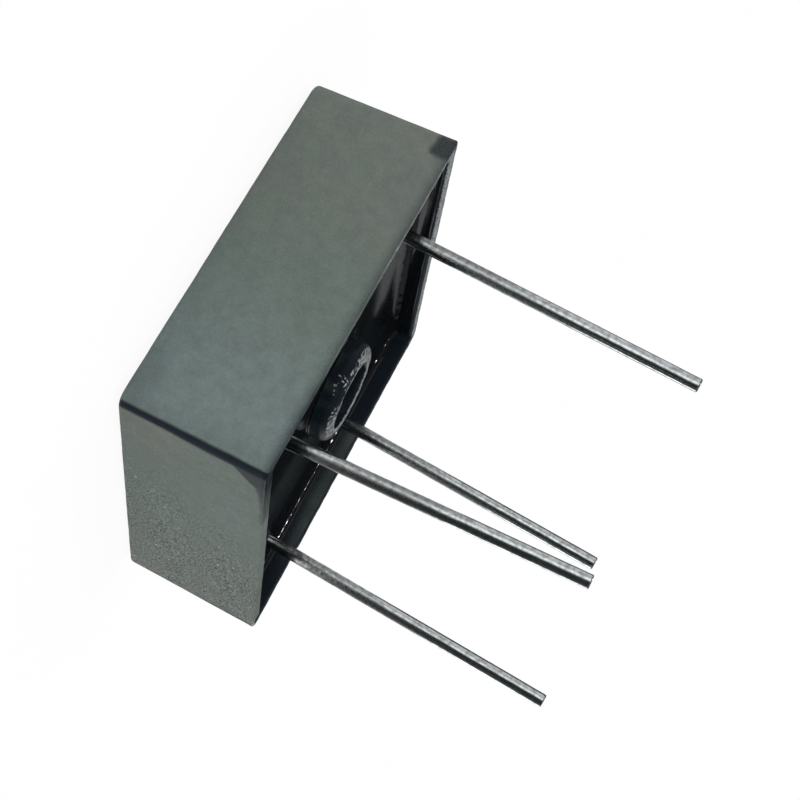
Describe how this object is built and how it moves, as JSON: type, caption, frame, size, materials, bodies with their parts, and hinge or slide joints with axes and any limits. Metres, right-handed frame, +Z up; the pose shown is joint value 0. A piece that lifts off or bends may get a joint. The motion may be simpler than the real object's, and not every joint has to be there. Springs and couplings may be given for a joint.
{
  "type": "bridge rectifier",
  "caption": "Square potted bridge rectifier that stands on its base plate, with a screw hole through its middle and upright wire leads, one of them offset.",
  "frame": {"origin": "centre of the case's square outline, on the base plate's heatsink face", "axes": "+Z up the leads, away from the heatsink; +Y from the negative lead to the first a.c. lead; +X from the negative lead to the second a.c. lead"},
  "size_m": [0.0284, 0.0284, 0.0328],
  "materials": {
    "case": "dark grey-green moulding compound with a fine rough mould texture",
    "potting": "poured black epoxy, glossy",
    "aluminium": "plain stamped aluminium, lightly brushed",
    "copper": "bare stamped copper",
    "silicon": "diced silicon with metallised faces",
    "solder": "dull reflowed solder",
    "tinned_wire": "drawn copper wire, tinned, slightly dulled"
  },
  "bodies": {
    "root": {"ac1_link": "copper", "ac2_link": "copper", "base_plate": "aluminium", "case": "case", "chip_ac1_negative": "silicon", "chip_ac1_negative_lower_solder": "solder", "chip_ac1_negative_upper_solder": "solder", "chip_ac1_positive": "silicon", "chip_ac1_positive_lower_solder": "solder", "chip_ac1_positive_upper_solder": "solder", "chip_ac2_negative": "silicon", "chip_ac2_negative_lower_solder": "solder", "chip_ac2_negative_upper_solder": "solder", "chip_ac2_positive": "silicon", "chip_ac2_positive_lower_solder": "solder", "chip_ac2_positive_upper_solder": "solder", "lead_ac1": "tinned_wire", "lead_ac1_solder": "solder", "lead_ac2": "tinned_wire", "lead_ac2_solder": "solder", "lead_negative": "tinned_wire", "lead_negative_solder": "solder", "lead_positive": "tinned_wire", "lead_positive_solder": "solder", "negative_plate": "copper", "positive_plate": "copper", "potting": "potting"}
  },
  "joints": []
}
